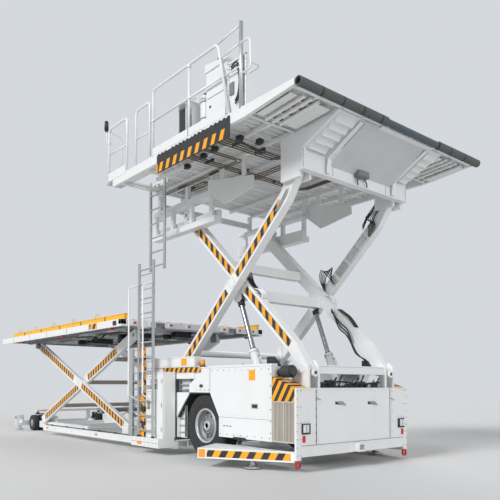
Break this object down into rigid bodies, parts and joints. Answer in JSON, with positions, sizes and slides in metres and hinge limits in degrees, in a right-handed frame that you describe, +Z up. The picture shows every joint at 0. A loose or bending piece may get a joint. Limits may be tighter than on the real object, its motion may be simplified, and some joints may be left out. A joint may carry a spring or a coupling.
{
  "type": "scissor lift cargo loader",
  "caption": "Airport high loader: wheeled chassis with a forward scissor-lifted bridge, operator stand and ladders, and a rear scissor-lifted cargo platform.",
  "frame": {"origin": "on the floor under the middle of the front axle", "axes": "+X forward to the nose bumpers, +Y left, +Z up"},
  "size_m": [12.4786, 4.42, 6.45],
  "materials": {
    "black_plastic": "matt",
    "bumper_rubber": "matt",
    "chrome_rod": "polished",
    "dark_steel": "matt",
    "galvanised": "satin",
    "grey_paint": "satin",
    "grille_beige": "satin",
    "hazard_paint": "gloss",
    "lamp_amber": "gloss",
    "lamp_lens": "clear",
    "lamp_red": "gloss",
    "red_paint": "gloss",
    "rim_silver": "satin",
    "tyre_rubber": "matt",
    "white_paint": "gloss",
    "yellow_paint": "gloss"
  },
  "bodies": {
    "chassis": {"low_frame": "white_paint", "rear_tail": "white_paint", "front_frame": "white_paint", "bridge_feet": "white_paint", "front_panel": "white_paint", "front_bumper": "white_paint", "side_covers": "white_paint", "arch_liners": "black_plastic", "side_grilles": "grille_beige", "corner_blocks": "hazard_paint", "engine_pack": "dark_steel", "bridge_tracks": "white_paint", "side_cabinets": "white_paint", "hazard_bars": "hazard_paint", "access_steps": "grey_paint", "step_wings": "white_paint", "stabiliser_feet": "galvanised", "tie_down_hooks": "red_paint", "lamps": "lamp_lens", "red_lamps": "lamp_red", "marker_lamps": "lamp_amber", "chassis_ladder": "galvanised", "grab_rails": "white_paint", "front_knuckle_left": "dark_steel", "front_knuckle_right": "dark_steel"},
    "steering_left": {"rear_fork_left": "dark_steel"},
    "steering_right": {"rear_fork_right": "dark_steel"},
    "front_wheel_left": {"front_tyre_left": "tyre_rubber", "front_rim_left": "rim_silver"},
    "front_wheel_right": {"front_tyre_right": "tyre_rubber", "front_rim_right": "rim_silver"},
    "rear_wheels_left": {"rear_tyres_left": "tyre_rubber", "rear_rims_left": "rim_silver"},
    "rear_wheels_right": {"rear_tyres_right": "tyre_rubber", "rear_rims_right": "rim_silver"},
    "bridge_arms_inner": {"bridge_inner_arms": "hazard_paint", "inner_arm_fittings": "white_paint"},
    "bridge_arms_outer": {"bridge_outer_arms": "hazard_paint", "outer_arm_fittings": "white_paint"},
    "bridge": {"bridge_deck": "white_paint", "bridge_front_beam": "white_paint", "bridge_rails": "white_paint", "bridge_bumpers": "bumper_rubber", "bridge_handrails": "white_paint", "deck_skirt": "grey_paint", "operator_console": "white_paint", "rear_walkway": "white_paint", "bridge_ladder": "galvanised"},
    "lift_barrels": {"bridge_barrels": "white_paint"},
    "lift_rods": {"bridge_rods": "chrome_rod"},
    "platform_arms_outer": {"platform_outer_arms": "hazard_paint", "platform_outer_fittings": "grey_paint"},
    "platform_arms_inner": {"platform_inner_arms": "hazard_paint", "platform_inner_fittings": "grey_paint"},
    "platform": {"platform_deck": "white_paint", "platform_beams": "grey_paint", "platform_guides": "yellow_paint"},
    "platform_barrels": {"platform_barrels": "white_paint"},
    "platform_rods": {"platform_rods": "chrome_rod"}
  },
  "joints": [
    {"name": "steer_left", "type": "hinge", "parent": "chassis", "child": "steering_left", "pos_m": [-8.64, 0.95, 0.5], "axis": [0, 0, 1], "range_deg": [-25, 25]},
    {"name": "front_wheel_spin_left", "type": "hinge", "parent": "chassis", "child": "front_wheel_left", "pos_m": [0, 1.13, 0.575], "axis": [0, 1, 0], "continuous": true},
    {"name": "rear_wheel_spin_left", "type": "hinge", "parent": "steering_left", "child": "rear_wheels_left", "pos_m": [-8.64, 0.95, 0.22], "axis": [0, 1, 0], "continuous": true},
    {"name": "steer_right", "type": "hinge", "parent": "chassis", "child": "steering_right", "pos_m": [-8.64, -0.95, 0.5], "axis": [0, 0, 1], "range_deg": [-25, 25]},
    {"name": "front_wheel_spin_right", "type": "hinge", "parent": "chassis", "child": "front_wheel_right", "pos_m": [0, -1.13, 0.575], "axis": [0, 1, 0], "continuous": true},
    {"name": "rear_wheel_spin_right", "type": "hinge", "parent": "steering_right", "child": "rear_wheels_right", "pos_m": [-8.64, -0.95, 0.22], "axis": [0, 1, 0], "continuous": true},
    {"name": "bridge_lift", "type": "hinge", "parent": "chassis", "child": "bridge_arms_inner", "pos_m": [2.1, 0, 1.54], "axis": [0, 1, 0], "range_deg": [-29, 7]},
    {"name": "bridge_scissor_cross", "type": "hinge", "parent": "bridge_arms_inner", "child": "bridge_arms_outer", "pos_m": [0.62, 0, 3.02], "axis": [0, 1, 0], "range_deg": [-14, 58]},
    {"name": "bridge_hinge", "type": "hinge", "parent": "bridge_arms_outer", "child": "bridge", "pos_m": [2.1, 0, 4.5], "axis": [0, 1, 0], "range_deg": [-29, 7]},
    {"name": "lift_barrel_swing", "type": "hinge", "parent": "chassis", "child": "lift_barrels", "pos_m": [1.28, 0, 0.8], "axis": [0, 1, 0], "range_deg": [-29, 7]},
    {"name": "lift_rod_slide", "type": "slide", "parent": "lift_barrels", "child": "lift_rods", "axis": [-0.3633, 0, 0.9317], "range_m": [-0.6, 0.2]},
    {"name": "platform_lift", "type": "hinge", "parent": "chassis", "child": "platform_arms_outer", "pos_m": [-2.85, 0, 0.36], "axis": [0, 1, 0], "range_deg": [-20.5, 38]},
    {"name": "platform_scissor_cross", "type": "hinge", "parent": "platform_arms_outer", "child": "platform_arms_inner", "pos_m": [-5.32, 0, 1.36], "axis": [0, 1, 0], "range_deg": [-76, 41]},
    {"name": "platform_hinge", "type": "hinge", "parent": "platform_arms_inner", "child": "platform", "pos_m": [-2.85, 0, 2.36], "axis": [0, 1, 0], "range_deg": [-20.5, 38]},
    {"name": "platform_barrel_swing", "type": "hinge", "parent": "chassis", "child": "platform_barrels", "pos_m": [-3, 0, 0.23], "axis": [0, 1, 0], "range_deg": [-22.03, 40.4]},
    {"name": "platform_rod_slide", "type": "slide", "parent": "platform_barrels", "child": "platform_rods", "axis": [-0.9174, 0, 0.3979], "range_m": [-0.08, 0.14]}
  ],
  "couplings": [
    {"joint": "steer_right", "follows": "steer_left", "ratio": 1},
    {"joint": "bridge_scissor_cross", "follows": "bridge_lift", "ratio": -2},
    {"joint": "bridge_hinge", "follows": "bridge_lift", "ratio": 1},
    {"joint": "lift_barrel_swing", "follows": "bridge_lift", "ratio": 0.925},
    {"joint": "lift_rod_slide", "follows": "bridge_lift", "m_per_rad": 1.085},
    {"joint": "platform_scissor_cross", "follows": "platform_lift", "ratio": -2},
    {"joint": "platform_hinge", "follows": "platform_lift", "ratio": 1},
    {"joint": "platform_barrel_swing", "follows": "platform_lift", "ratio": 1.05},
    {"joint": "platform_rod_slide", "follows": "platform_lift", "m_per_rad": 0.2}
  ]
}
